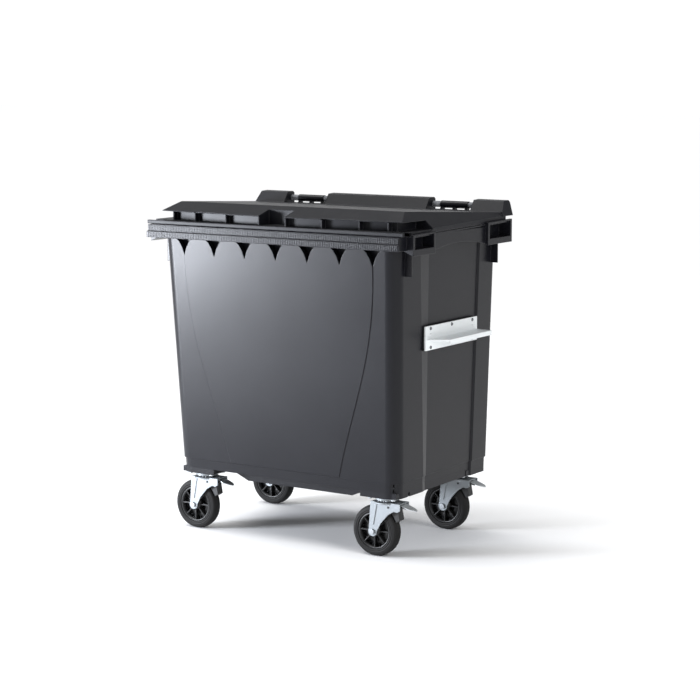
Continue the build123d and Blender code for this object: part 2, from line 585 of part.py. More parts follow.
# ---- hinges --------------------------------------------------------------
def hinge_pins():
    """Two steel pins, each with a flat head and a domed end."""
    pins = []
    for side in (-1, 1):
        middle = side * HINGE_X
        reach = HINGE_SLOT_HALF + EAR_T
        pin = rod((middle - reach - 2, HINGE_Y, HINGE_Z), (1, 0, 0), PIN_R, 2 * reach + 8)
        pin += rod((middle - reach - 5, HINGE_Y, HINGE_Z), (1, 0, 0), PIN_R + 4, 5)
        pins.append(pin)
    return pins


def hinge_bushes():
    """Ribbed plastic sleeves that space each knuckle between the lid's ears."""
    bushes = []
    for side in (-1, 1):
        for end in (-1, 1):
            start = side * HINGE_X + end * (KNUCKLE_HALF + HINGE_GAP)
            stop = side * HINGE_X + end * HINGE_SLOT_HALF
            low, high = min(start, stop), max(start, stop)
            sleeve = rod((low, HINGE_Y, HINGE_Z), (1, 0, 0), BUSH_R - 1.5, high - low)
            for index in range(5):
                x = low + (index + 0.5) * (high - low) / 5
                sleeve += rod((x - 2.5, HINGE_Y, HINGE_Z), (1, 0, 0), BUSH_R, 5)
            sleeve -= rod((low - 1, HINGE_Y, HINGE_Z), (1, 0, 0), PIN_R, high - low + 2)
            bushes.append(sleeve)
    return bushes


# ---- side lifting brackets ----------------------------------------------
def bracket_bolt_points():
    """(y, z) of the six bolts of a side bracket."""
    first = BRACKET_Y[0] + BRACKET_BOLT_IN
    last = BRACKET_Y[1] - BRACKET_BOLT_IN
    rows = (BRACKET_Z[0] + BRACKET_BOLT_EDGE, BRACKET_Z[1] - BRACKET_BOLT_EDGE)
    return [(y, z) for z in rows for y in (first, (first + last) / 2, last)]


def side_bracket():
    """Pressed steel plate with a tongue that has a slanted lead-in and a turned-down lip."""
    inner = BRACKET_FACE - BRACKET_T
    plate = box(inner, BRACKET_FACE, BRACKET_Y[0], BRACKET_Y[1], BRACKET_Z[0], BRACKET_Z[1])
    front = BRACKET_Y[0] + 6
    rear = BRACKET_Y[1] - 4
    outline = [(inner, front), (TONGUE_REACH, front + TONGUE_LEAD), (TONGUE_REACH, rear), (inner, rear)]
    tongue = prism_z(outline, TONGUE_Z - TONGUE_T, TONGUE_Z)
    lip_y = (front + TONGUE_LEAD, rear)
    lip = box(TONGUE_REACH - TONGUE_T, TONGUE_REACH, *lip_y, TONGUE_Z - TONGUE_LIP, TONGUE_Z)
    bracket = plate + tongue + lip
    for y, z in bracket_bolt_points():
        bracket -= rod((inner - 1, y, z), (1, 0, 0), BRACKET_BOLT_R + 0.3, BRACKET_T + 2)
    for y in (BRACKET_Y[0] + BRACKET_BOLT_IN, BRACKET_Y[1] - BRACKET_BOLT_IN):
        bracket -= rod((inner - 1, y, TONGUE_Z + 20), (1, 0, 0), SPARE_HOLE_R, BRACKET_T + 2)
    return bracket


def side_spacer():
    """Packing behind the bracket plate, shaped to the sunk side panel."""
    inner = BRACKET_FACE - BRACKET_T
    block = box(BODY_BASE_HALF - 10, inner, BRACKET_Y[0], BRACKET_Y[1], BRACKET_Z[0], BRACKET_Z[1])
    walls = loft(Sketch() + [body_outline(FOOT_BAND_Z), body_outline(RIM_TOP_REAR)])
    block -= walls
    for y, z in bracket_bolt_points():
        block -= rod((BODY_BASE_HALF - 20, y, z), (1, 0, 0), BRACKET_BOLT_R + 0.3, 60)
    return block


def bracket_bolts():
    """Coach bolts with domed heads outside, and their nuts inside the wall."""
    bolts = []
    nuts = []
    for y, z in bracket_bolt_points():
        wall_in = blend(z, BODY_BASE_HALF, BODY_TOP_HALF) - POST_PROUD - WALL
        bolt = rod((wall_in - 12, y, z), (1, 0, 0), BRACKET_BOLT_R, BRACKET_FACE - wall_in + 12)
        bolt += rod((BRACKET_FACE, y, z), (1, 0, 0), 7, 3)
        nut = extrude(Plane(origin=(wall_in - 9, y, z), z_dir=(1, 0, 0)) * RegularPolygon(7, 6), 8)
        nut -= rod((wall_in - 10, y, z), (1, 0, 0), BRACKET_BOLT_R, 10)
        bolts += [bolt, mirror(bolt, Plane.YZ)]
        nuts += [nut, mirror(nut, Plane.YZ)]
    return bolts, nuts


# ---- castors -------------------------------------------------------------
def castor_bolt_points():
    """(x, y) of the sixteen castor bolts."""
    points = []
    for x in (-CASTOR_X, CASTOR_X):
        for y in CASTOR_Y:
            for dx in (-PLATE_HOLES[0] / 2, PLATE_HOLES[0] / 2):
                for dy in (-PLATE_HOLES[1] / 2, PLATE_HOLES[1] / 2):
                    points.append((x + dx, y + dy))
    return points


def castor_plate():
    """Top plate with its pressed dish, which is the upper ball race."""
    corner = 12
    plate = extrude(Pos(0, 0, PLATE_TOP - PLATE_T) * RectangleRounded(PLATE_L, PLATE_W, corner), PLATE_T)
    plate += rod((0, 0, DISH_Z), (0, 0, 1), DISH_R - 4, PLATE_TOP - PLATE_T - DISH_Z)
    plate += rod((0, 0, DISH_Z + 4), (0, 0, 1), DISH_R, PLATE_TOP - PLATE_T - DISH_Z - 4)
    for dx in (-PLATE_HOLES[0] / 2, PLATE_HOLES[0] / 2):
        for dy in (-PLATE_HOLES[1] / 2, PLATE_HOLES[1] / 2):
            plate -= rod((dx, dy, PLATE_TOP - PLATE_T - 1), (0, 0, 1), MOUNT_HOLE_R, PLATE_T + 2)
    ring_z = (DISH_Z + CROWN_Z + CROWN_T) / 2
    plate -= Pos(0, 0, ring_z) * Torus(BALL_RING_R, BALL_R + 0.3)
    return plate - rod((0, 0, DISH_Z - 1), (0, 0, 1), KINGPIN_R, 40)


def castor_balls():
    """Ring of steel balls between the dish and the fork's crown."""
    ring_z = (DISH_Z + CROWN_Z + CROWN_T) / 2
    balls = []
    for index in range(BALL_COUNT):
        angle = 2 * math.pi * index / BALL_COUNT
        spot = (BALL_RING_R * math.cos(angle), BALL_RING_R * math.sin(angle), ring_z)
        balls.append(Pos(*spot) * Sphere(BALL_R))
    return balls


def castor_kingpin():
    """Riveted pin that the fork turns on."""
    pin = rod((0, 0, CROWN_Z - 1), (0, 0, 1), KINGPIN_R, PLATE_TOP - CROWN_Z)
    return pin + rod((0, 0, CROWN_Z - 5.5), (0, 0, 1), KINGPIN_R + 5, 5)


def castor_fork():
    """Pressed fork: round crown over two legs that taper to the axle."""
    crown = rod((0, 0, CROWN_Z), (0, 0, 1), CROWN_R, CROWN_T)
    crown += box(-CROWN_R, 74, -FORK_INNER - FORK_T, FORK_INNER + FORK_T, CROWN_Z, CROWN_T + CROWN_Z)
    crown_top = CROWN_Z + CROWN_T
    leg_out = [(-54, crown_top), (FORK_END_X, crown_top), (FORK_END_X, 193), (66, 186), (50, 188), (24, 172)]
    leg_out += [(-8, 136), (18 - TRAIL, WHEEL_R), (1 - TRAIL - AXLE_BOSS_R, WHEEL_R), (-60, 130)]
    leg = prism_y(leg_out, FORK_INNER, FORK_INNER + FORK_T)
    leg += rod((-TRAIL, FORK_INNER, WHEEL_R), (0, 1, 0), AXLE_BOSS_R, FORK_T)
    bead_out = [(-34, CROWN_Z - 2), (-24, CROWN_Z - 2), (-40, 128), (-45, 128)]
    leg += prism_y(bead_out, FORK_INNER + FORK_T - 1, FORK_INNER + FORK_T + BEAD_PROUD)
    fork = crown + leg + mirror(leg, Plane.XZ)
    fork -= rod((0, 0, CROWN_Z - 1), (0, 0, 1), KINGPIN_R + RUN_FIT, 10)
    ring_z = (DISH_Z + CROWN_Z + CROWN_T) / 2
    fork -= Pos(0, 0, ring_z) * Torus(BALL_RING_R, BALL_R + 0.05)
    fork -= rod((-TRAIL, -60, WHEEL_R), (0, 1, 0), AXLE_R, 120)
    return fork - rod((BRAKE_PIVOT_X, -60, BRAKE_PIVOT_Z), (0, 1, 0), TRUNNION_R + RUN_FIT, 120)


def castor_axle():
    """Hexagon bolt through the fork legs and the wheel, with its nut."""
    outer = FORK_INNER + FORK_T
    bolt = rod((-TRAIL, -outer, WHEEL_R), (0, 1, 0), AXLE_R, 2 * outer + 12)
    bolt += extrude(Plane(origin=(-TRAIL, -outer - 7, WHEEL_R), z_dir=(0, 1, 0)) * RegularPolygon(10.5, 6), 7)
    nut = extrude(Plane(origin=(-TRAIL, outer, WHEEL_R), z_dir=(0, 1, 0)) * RegularPolygon(10.5, 6), 9)
    nut -= rod((-TRAIL, outer - 1, WHEEL_R), (0, 1, 0), AXLE_R, 12)
    return bolt, nut


def wheel_bearing():
    """Sleeve in the hub that runs on the axle bolt."""
    half = FORK_INNER - 0.5
    sleeve = rod((-TRAIL, -half, WHEEL_R), (0, 1, 0), BEARING_R, 2 * half)
    return sleeve - rod((-TRAIL, -half - 1, WHEEL_R), (0, 1, 0), AXLE_R + RUN_FIT, 2 * half + 2)


def wheel_hub():
    """Moulded hub with a thin web and eight spokes on each face."""
    half = HUB_W / 2
    axis = Plane(origin=(-TRAIL, 0, WHEEL_R), z_dir=(0, 1, 0))
    rim = extrude(axis * (Circle(TYRE_INNER_R) - Circle(TYRE_INNER_R - 7)), half, both=True)
    boss = extrude(axis * Circle(BEARING_R + 9), half + 2, both=True)
    web = extrude(axis * Circle(TYRE_INNER_R - 4), 2.5, both=True)
    hub = rim + boss + web
    for index in range(8):
        spoke = box(-3, 3, -half + 5, half - 5, 15, TYRE_INNER_R - 3)
        hub += Pos(-TRAIL, 0, WHEEL_R) * (Rot(0, 45 * index, 0) * spoke)
    return hub - rod((-TRAIL, -40, WHEEL_R), (0, 1, 0), BEARING_R, 80)


def tyre():
    """Solid rubber tyre with rounded shoulders and two side rings."""
    half = TYRE_W / 2
    seat = [(TYRE_INNER_R, half - 3), (TYRE_INNER_R, 3 - half), (TYRE_INNER_R + 10, -half)]
    tread = [(WHEEL_R, -half), (WHEEL_R, half), (TYRE_INNER_R + 10, half)]
    section = make_face(Polyline(*[(x, y, 0) for x, y in seat + tread], close=True).edges())
    section = fillet(section.vertices().group_by(Axis.X)[-1], TYRE_SHOULDER_R)
    ring = revolve(section, Axis.Y, 360)
    return Pos(-TRAIL, 0, WHEEL_R) * ring


def brake_arm():
    """Flat arm from the pivot out to the pedal, just under the crown."""
    outline = [(BRAKE_PIVOT_X, BRAKE_PIVOT_Z - 3), (BRAKE_PIVOT_X, BRAKE_PIVOT_Z + 4)]
    outline += [(70, 208), (76, 204), (76, 199), (60, 197)]
    return prism_y(outline, -20, 20)


def brake_lever():
    """Pivot tube with its trunnions, the arm, and the shoe that hangs over the tyre."""
    outer = FORK_INNER + FORK_T + 2
    sleeve = rod((BRAKE_PIVOT_X, -FORK_INNER + 1, BRAKE_PIVOT_Z), (0, 1, 0), 7, 2 * FORK_INNER - 2)
    trunnions = rod((BRAKE_PIVOT_X, -outer, BRAKE_PIVOT_Z), (0, 1, 0), TRUNNION_R, 2 * outer)
    shoe = prism_y([(36, 200), (58, 200), (67, 152), (52, 142), (26, 172)], -17, 17)
    shoe -= rod((-TRAIL, -40, WHEEL_R), (0, 1, 0), WHEEL_R + SHOE_GAP, 80)
    return sleeve + trunnions + brake_arm() + shoe


def brake_pedal():
    """Pointed pressed pedal at the end of the brake lever."""
    side_view = [(68, 203.5), (76, 212), (PEDAL_REACH, 194), (122, 182)]
    side_view += [(104, 176), (88, 180), (76, 190), (76, 199)]
    shape = prism_y(side_view, -27, 27)
    leaf = [(66, -21), (90, -25), (112, -17), (PEDAL_REACH, 0), (112, 17), (90, 25), (66, 21)]
    plan = prism_z(leaf, 150, 240)
    scoop = [(78, 212.5), (PEDAL_REACH - 6, 197), (120, 185), (104, 179.5), (90, 183), (79, 193)]
    inner = prism_y(scoop, -24, 24)
    inner_leaf = [(78, -20), (90, -22), (111, -14.5), (PEDAL_REACH - 6, 0), (111, 14.5), (90, 22), (78, 20)]
    inner_plan = prism_z(inner_leaf, 150, 240)
    pedal = (shape & plan) - (inner & inner_plan)
    return pedal - brake_arm()


def place(shapes, x, y):
    """Copies of a piece, or of a list of pieces, at one castor."""
    group = shapes if isinstance(shapes, list) else [shapes]
    return [Pos(x, y, 0) * shape for shape in group]


def save(name, shapes):
    """Write one node as a STEP file."""
    group = shapes if isinstance(shapes, list) else [shapes]
    solids = [solid for shape in group for solid in shape.solids()]
    solids = [Pos(0, -MIDDLE_Y, 0) * solid for solid in solids]
    whole = solids[0] if len(solids) == 1 else Compound(children=solids)
    export_step(whole, f"parts/{name}.step")


def main():
    os.makedirs("parts", exist_ok=True)
    save("container_body", container_body())
    save("drain_plug", drain_plug())
    save("drain_seal", drain_seal())
    save("lid", lid())
    save("hinge_pins", hinge_pins())
    save("hinge_bushes", hinge_bushes())
    bracket = side_bracket()
    save("side_bracket_right", bracket)
    save("side_bracket_left", mirror(bracket, Plane.YZ))
    spacer = side_spacer()
    save("bracket_packings", [spacer, mirror(spacer, Plane.YZ)])
    bolts, nuts = bracket_bolts()
    save("bracket_bolts", bolts)
    save("bracket_nuts", nuts)
    mount_bolts = []
    mount_nuts = []
    for x, y in castor_bolt_points():
        bolt = rod((x, y, PLATE_TOP - PLATE_T), (0, 0, 1), MOUNT_BOLT_R, 46)
        bolt += extrude(Plane(origin=(x, y, PLATE_TOP - PLATE_T - 6)) * RegularPolygon(9, 6), 6)
        nut = extrude(Plane(origin=(x, y, FLOOR_Z + FLOOR_T)) * RegularPolygon(9, 6), 8)
        nut -= rod((x, y, FLOOR_Z), (0, 0, 1), MOUNT_BOLT_R, 20)
        mount_bolts.append(bolt)
        mount_nuts.append(nut)
    save("castor_bolts", mount_bolts)
    save("castor_nuts", mount_nuts)
    axle_bolt, axle_nut = castor_axle()
    pieces = {
        "castor_plate": castor_plate(), "castor_balls": castor_balls(), "castor_kingpin": castor_kingpin(),
        "castor_fork": castor_fork(), "axle_bolt": axle_bolt, "axle_nut": axle_nut,
        "wheel_bearing": wheel_bearing(), "wheel_hub": wheel_hub(), "tyre": tyre(),
        "brake_lever": brake_lever(), "brake_pedal": brake_pedal(),
    }
    for row, y in zip(("front", "rear"), CASTOR_Y):
        for side, x in (("left", -CASTOR_X), ("right", CASTOR_X)):
            for name, shapes in pieces.items():
                save(f"{name}_{row}_{side}", place(shapes, x, y))


main()
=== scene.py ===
import math

import bmesh
import bpy
from mathutils import Matrix, Vector


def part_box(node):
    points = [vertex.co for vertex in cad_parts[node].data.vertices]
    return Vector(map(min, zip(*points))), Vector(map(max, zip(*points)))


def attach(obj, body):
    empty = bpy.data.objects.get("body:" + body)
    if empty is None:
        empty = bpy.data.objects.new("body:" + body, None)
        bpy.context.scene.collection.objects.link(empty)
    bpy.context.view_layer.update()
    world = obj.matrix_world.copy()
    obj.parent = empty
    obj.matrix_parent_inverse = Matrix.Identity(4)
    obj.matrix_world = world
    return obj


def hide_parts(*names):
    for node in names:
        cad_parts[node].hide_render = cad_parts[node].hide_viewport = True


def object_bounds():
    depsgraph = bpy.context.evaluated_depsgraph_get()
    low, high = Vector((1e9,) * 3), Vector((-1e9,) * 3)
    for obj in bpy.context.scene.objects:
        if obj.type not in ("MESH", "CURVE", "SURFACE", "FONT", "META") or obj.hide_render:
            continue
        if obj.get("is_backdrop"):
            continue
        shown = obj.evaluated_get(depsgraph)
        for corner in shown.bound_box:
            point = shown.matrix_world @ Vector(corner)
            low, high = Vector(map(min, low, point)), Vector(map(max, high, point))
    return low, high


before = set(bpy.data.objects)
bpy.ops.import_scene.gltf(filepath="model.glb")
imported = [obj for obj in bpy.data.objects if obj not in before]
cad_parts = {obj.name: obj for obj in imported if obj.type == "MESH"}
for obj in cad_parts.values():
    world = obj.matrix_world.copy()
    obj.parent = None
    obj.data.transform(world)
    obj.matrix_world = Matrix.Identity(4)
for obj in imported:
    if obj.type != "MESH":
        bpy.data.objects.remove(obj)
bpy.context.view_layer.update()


# ---- camera and studio ----------------------------------------------------
# A long lens looks down a little onto the front right corner. A low softbox at
# the front left puts a gloss on the front wall, a fill lights the right side, a
# weak glow from behind skims the lid, and a broad light throws the shadow.
SURROUND_LIGHT = 0.32        # what the surround sheds on the container
SURROUND_SEEN = 1.6          # and how bright it looks behind it
camera_data = bpy.data.cameras.new("studio_camera")
camera_data.lens = 103.1
camera_data.sensor_width = 36.0
camera_data.clip_end = 200.0
camera = bpy.data.objects.new("studio_camera", camera_data)
camera.location = (4.4344, -6.6184, 1.8877)
camera.rotation_euler = (math.radians(81.8), 0.0, math.radians(33.2))
bpy.context.scene.collection.objects.link(camera)
bpy.context.scene.camera = camera
bpy.context.scene.view_settings.view_transform = "Standard"


def soft_light(name, place, aim, wide, high, watts, tint=(1.0, 1.0, 1.0)):
    """A rectangular studio softbox that faces a point."""
    data = bpy.data.lights.new(name, "AREA")
    data.shape = "RECTANGLE"
    data.size = wide
    data.size_y = high
    data.energy = watts
    data.color = tint
    lamp = bpy.data.objects.new(name, data)
    lamp.location = place
    towards = Vector(aim) - Vector(place)
    lamp.rotation_euler = towards.to_track_quat("-Z", "Y").to_euler()
    lamp.visible_camera = False
    bpy.context.scene.collection.objects.link(lamp)


soft_light("low_left_softbox", place=(-3.00, -2.95, 0.80), aim=(-0.6, -0.4, 1.1), wide=1.05, high=0.90,
           watts=320.0, tint=(0.88, 0.92, 1.0))
soft_light("right_fill", place=(3.7, -1.3, 2.4), aim=(0.55, 0.0, 0.8), wide=1.6, high=1.6, watts=46.0)
soft_light("rear_glow", place=(-3.3, 5.0, 1.95), aim=(0.0, 0.0, 1.3), wide=2.6, high=1.2, watts=10.0)

broad = bpy.data.lights.new("broad_light", "SUN")
broad.energy = 2.5
broad.angle = math.radians(50.0)
broad_lamp = bpy.data.objects.new("broad_light", broad)
broad_lamp.rotation_euler = Vector((0.34, 0.10, -1.0)).to_track_quat("-Z", "Y").to_euler()
bpy.context.scene.collection.objects.link(broad_lamp)

world = bpy.data.worlds.new("studio_surround")
world.use_nodes = True
surround = world.node_tree.nodes["Background"]
surround.inputs["Color"].default_value = (0.97, 0.98, 1.0, 1.0)
seen = world.node_tree.nodes.new("ShaderNodeLightPath")
strength = world.node_tree.nodes.new("ShaderNodeMapRange")
strength.inputs["To Min"].default_value = SURROUND_LIGHT
strength.inputs["To Max"].default_value = SURROUND_SEEN
world.node_tree.links.new(seen.outputs["Is Camera Ray"], strength.inputs["Value"])
world.node_tree.links.new(strength.outputs["Result"], surround.inputs["Strength"])
bpy.context.scene.world = world


# ---- floor ------------------------------------------------------------------
# Pale seamless studio paper that reaches past the edge of the view.
FLOOR_HALF = 60
floor_mesh = bpy.data.meshes.new("studio_floor")
floor_corners = [(FLOOR_HALF * x, FLOOR_HALF * y, 0) for x, y in ((-1, -1), (1, -1), (1, 1), (-1, 1))]
floor_mesh.from_pydata(floor_corners, [], [(0, 1, 2, 3)])
floor = bpy.data.objects.new("studio_floor", floor_mesh)
bpy.context.scene.collection.objects.link(floor)
floor_paint = bpy.data.materials.new("studio_paper")
floor_paint.use_nodes = True
floor_shader = floor_paint.node_tree.nodes["Principled BSDF"]
floor_shader.inputs["Roughness"].default_value = 0.9
floor_shader.inputs["Specular IOR Level"].default_value = 0.1
floor_shader.inputs["Base Color"].default_value = (0.97, 0.97, 0.97, 1.0)
floor_mesh.materials.append(floor_paint)
floor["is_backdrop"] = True


# ---- container body and lid -------------------------------------------------
# Two injection-moulded shells in dark grey polyethylene, with a fine mould
# grain, rounded edges that are rubbed a little paler, and thin dust on top.
DUST_COLOUR = (0.32, 0.31, 0.30, 1.0)
EDGE_GAIN = 3.0              # how quickly a turned edge shows as rubbed
RELIEF_STRENGTH = 0.6


def new_group(name, inputs, outputs):
    """An empty shader group with named float inputs and named outputs."""
    group = bpy.data.node_groups.new(name, "ShaderNodeTree")
    for label, value in inputs:
        socket = group.interface.new_socket(label, in_out="INPUT", socket_type="NodeSocketFloat")
        socket.default_value = value
    for label, kind in outputs:
        group.interface.new_socket(label, in_out="OUTPUT", socket_type=kind)
    return group, group.nodes.new("NodeGroupInput"), group.nodes.new("NodeGroupOutput")


def node(tree, kind, **settings):
    """A shader node with its settings."""
    made = tree.nodes.new(kind)
    for key, value in settings.items():
        setattr(made, key, value)
    return made


def math_node(tree, operation, first, second=None):
    """A Math node whose inputs are sockets or numbers."""
    made = node(tree, "ShaderNodeMath", operation=operation)
    for index, value in enumerate((first, second)):
        if value is None:
            continue
        if isinstance(value, (int, float)):
            made.inputs[index].default_value = value
        else:
            tree.links.new(value, made.inputs[index])
    return made.outputs[0]


def build_grain():
    """Fine texture of a mould or a plated sheet, with a slow unevenness over it."""
    group, start, end = new_group(
        "surface_grain",
        [("Grain Scale", 900.0), ("Cloud Scale", 6.0)],
        [("Height", "NodeSocketFloat"), ("Cloud", "NodeSocketFloat")])
    place = node(group, "ShaderNodeTexCoord")
    fine = node(group, "ShaderNodeTexNoise")
    fine.inputs["Detail"].default_value = 2.0
    group.links.new(place.outputs["Object"], fine.inputs["Vector"])
    group.links.new(start.outputs["Grain Scale"], fine.inputs["Scale"])
    cloud = node(group, "ShaderNodeTexNoise")
    cloud.inputs["Detail"].default_value = 4.0
    cloud.inputs["Roughness"].default_value = 0.6
    group.links.new(place.outputs["Object"], cloud.inputs["Vector"])
    group.links.new(start.outputs["Cloud Scale"], cloud.inputs["Scale"])
    group.links.new(fine.outputs["Fac"], end.inputs["Height"])
    group.links.new(cloud.outputs["Fac"], end.inputs["Cloud"])
    return group


def build_edges():
    """Rounded normal along the edges and a broken mask where they are rubbed pale."""
    group, start, end = new_group(
        "worn_edges",
        [("Radius", 0.002), ("Amount", 1.0), ("Patch Scale", 40.0)],
        [("Normal", "NodeSocketVector"), ("Wear", "NodeSocketFloat")])
    rounded = node(group, "ShaderNodeBevel", samples=6)
    group.links.new(start.outputs["Radius"], rounded.inputs["Radius"])
    flat = node(group, "ShaderNodeNewGeometry")
    dot = node(group, "ShaderNodeVectorMath", operation="DOT_PRODUCT")
    group.links.new(rounded.outputs["Normal"], dot.inputs[0])
    group.links.new(flat.outputs["Normal"], dot.inputs[1])
    turn = math_node(group, "SUBTRACT", 1.0, dot.outputs["Value"])
    place = node(group, "ShaderNodeTexCoord")
    patches = node(group, "ShaderNodeTexNoise")
    patches.inputs["Detail"].default_value = 3.0
    group.links.new(place.outputs["Object"], patches.inputs["Vector"])
    group.links.new(start.outputs["Patch Scale"], patches.inputs["Scale"])
    broken = math_node(group, "MULTIPLY", patches.outputs["Fac"], start.outputs["Amount"])
    edge = math_node(group, "MULTIPLY", turn, EDGE_GAIN)
    wear = math_node(group, "MULTIPLY", edge, broken)
    limited = math_node(group, "MINIMUM", wear, 1.0)
    group.links.new(rounded.outputs["Normal"], end.inputs["Normal"])
    group.links.new(limited, end.inputs["Wear"])
    return group


def build_dust():
    """Thin dust that settles on faces that look up."""
    group, start, end = new_group(
        "settled_dust",
        [("Amount", 0.3), ("Patch Scale", 14.0)],
        [("Dust", "NodeSocketFloat")])
    flat = node(group, "ShaderNodeNewGeometry")
    parts = node(group, "ShaderNodeSeparateXYZ")
    group.links.new(flat.outputs["Normal"], parts.inputs[0])
    up = math_node(group, "MAXIMUM", parts.outputs["Z"], 0.0)
    place = node(group, "ShaderNodeTexCoord")
    patches = node(group, "ShaderNodeTexNoise")
    patches.inputs["Detail"].default_value = 5.0
    patches.inputs["Roughness"].default_value = 0.65
    group.links.new(place.outputs["Object"], patches.inputs["Vector"])
    group.links.new(start.outputs["Patch Scale"], patches.inputs["Scale"])
    thick = math_node(group, "MULTIPLY", up, patches.outputs["Fac"])
    dust = math_node(group, "MULTIPLY", thick, start.outputs["Amount"])
    group.links.new(dust, end.inputs["Dust"])
    return group


surface_grain = build_grain()
worn_edges = build_edges()
settled_dust = build_dust()


def finish_material(name, colour, pale, rough, metallic=0.0, grain=(900.0, 6.0), bump=0.0002,
                    edge=(0.002, 0.5, 40.0), dust=0.2, cloud=0.25, rough_swing=0.12, specular=0.5):
    """A moulded, rubber or plated finish from its own colours and the shared effects.

    Grain is (fine scale, cloud scale); edge is (radius, amount, patch scale).
    """
    material = bpy.data.materials.new(name)
    material.use_nodes = True
    tree = material.node_tree
    shader = tree.nodes["Principled BSDF"]
    shader.inputs["Specular IOR Level"].default_value = specular
    shader.inputs["Metallic"].default_value = metallic
    texture = node(tree, "ShaderNodeGroup", node_tree=surface_grain)
    for label, value in zip(("Grain Scale", "Cloud Scale"), grain):
        texture.inputs[label].default_value = value
    edges = node(tree, "ShaderNodeGroup", node_tree=worn_edges)
    for label, value in zip(("Radius", "Amount", "Patch Scale"), edge):
        edges.inputs[label].default_value = value
    settled = node(tree, "ShaderNodeGroup", node_tree=settled_dust)
    settled.inputs["Amount"].default_value = dust
    shades = node(tree, "ShaderNodeMix", data_type="RGBA")
    shades.inputs["A"].default_value = (*colour, 1.0)
    shades.inputs["B"].default_value = (*[c * (1.0 + cloud) for c in colour], 1.0)
    tree.links.new(texture.outputs["Cloud"], shades.inputs["Factor"])
    rubbed = node(tree, "ShaderNodeMix", data_type="RGBA")
    rubbed.inputs["B"].default_value = (*pale, 1.0)
    tree.links.new(edges.outputs["Wear"], rubbed.inputs["Factor"])
    tree.links.new(shades.outputs["Result"], rubbed.inputs["A"])
    dusty = node(tree, "ShaderNodeMix", data_type="RGBA")
    dusty.inputs["B"].default_value = DUST_COLOUR
    tree.links.new(settled.outputs["Dust"], dusty.inputs["Factor"])
    tree.links.new(rubbed.outputs["Result"], dusty.inputs["A"])
    tree.links.new(dusty.outputs["Result"], shader.inputs["Base Color"])
    swing = math_node(tree, "MULTIPLY", texture.outputs["Cloud"], rough_swing)
    level = math_node(tree, "ADD", swing, rough - rough_swing / 2)
    tree.links.new(level, shader.inputs["Roughness"])
    relief = node(tree, "ShaderNodeBump")
    relief.inputs["Strength"].default_value = RELIEF_STRENGTH
    relief.inputs["Distance"].default_value = bump
    tree.links.new(texture.outputs["Height"], relief.inputs["Height"])
    tree.links.new(edges.outputs["Normal"], relief.inputs["Normal"])
    tree.links.new(relief.outputs["Normal"], shader.inputs["Normal"])
    return material


def wear_material(names, material):
    """Gives a finish to CAD nodes by their names."""
    for name in names:
        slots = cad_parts[name].data.materials
        if not slots:
            slots.append(material)
        for index in range(len(slots)):
            slots[index] = material


body_plastic = finish_material("container_plastic", (0.0068, 0.0070, 0.0095), (0.07, 0.07, 0.08), 0.30,
                               grain=(1400.0, 3.0), bump=0.00012, edge=(0.003, 0.35, 30.0), dust=0.04,
                               specular=0.22)
lid_plastic = finish_material("lid_plastic", (0.0070, 0.0073, 0.0098), (0.12, 0.12, 0.13), 0.42,
                              grain=(1400.0, 4.0), bump=0.00012, edge=(0.005, 0.45, 25.0), dust=0.05,
                              specular=0.20)
wear_material(["container_body"], body_plastic)
wear_material(["lid"], lid_plastic)


# ---- drain plug and its seal ------------------------------------------------
# A screw-in plug of black plastic in the floor, on a flat rubber ring.
black_plastic = finish_material("black_plastic", (0.0075, 0.0075, 0.0080), (0.035, 0.035, 0.035), 0.45,
                                grain=(1100.0, 12.0), dust=0.08)
seal_rubber = finish_material("seal_rubber", (0.010, 0.010, 0.010), (0.03, 0.03, 0.03), 0.72,
                              grain=(700.0, 18.0))
wear_material(["drain_plug"], black_plastic)
wear_material(["drain_seal"], seal_rubber)


# ---- hinges -----------------------------------------------------------------
# Steel pins run through the body's knuckles. Pale nylon sleeves with long
# ribs fill the space between each knuckle and the lid's ears.
def geometry_tree(name, inputs):
    """An empty Geometry Nodes tree with named inputs."""
    tree = bpy.data.node_groups.new(name, "GeometryNodeTree")
    for label, kind, value in inputs:
        socket = tree.interface.new_socket(label, in_out="INPUT", socket_type=kind)
        if value is not None:
            socket.default_value = value
    tree.interface.new_socket("Geometry", in_out="OUTPUT", socket_type="NodeSocketGeometry")
    return tree, tree.nodes.new("NodeGroupInput"), tree.nodes.new("NodeGroupOutput")


def piece_from_mesh(name, mesh, material):
    """A finished piece whose place is in its mesh."""
    mesh.name = name
    mesh.materials.clear()
    mesh.materials.append(material)
    made = bpy.data.objects.new(name, mesh)
    bpy.context.scene.collection.objects.link(made)
    return made


def mesh_from_tree(tree, values, place):
    """The plain mesh that a Geometry Nodes tree makes, moved to its place."""
    seed = bpy.data.objects.new("tree_seed", bpy.data.meshes.new("tree_seed"))
    bpy.context.scene.collection.objects.link(seed)
    modifier = seed.modifiers.new("shape", "NODES")
    modifier.node_group = tree
    sockets = {item.name: item.identifier for item in tree.interface.items_tree if item.in_out == "INPUT"}
    for label, value in values.items():
        modifier[sockets[label]] = value
    evaluated = seed.evaluated_get(bpy.context.evaluated_depsgraph_get())
    mesh = bpy.data.meshes.new_from_object(evaluated)
    bpy.data.objects.remove(seed)
    mesh.transform(place)
    return mesh


def joined(meshes):
    """One mesh out of several."""
    whole = bmesh.new()
    for mesh in meshes:
        whole.from_mesh(mesh)
    bmesh.ops.recalc_face_normals(whole, faces=whole.faces)
    result = bpy.data.meshes.new("joined")
    whole.to_mesh(result)
    whole.free()
    return result


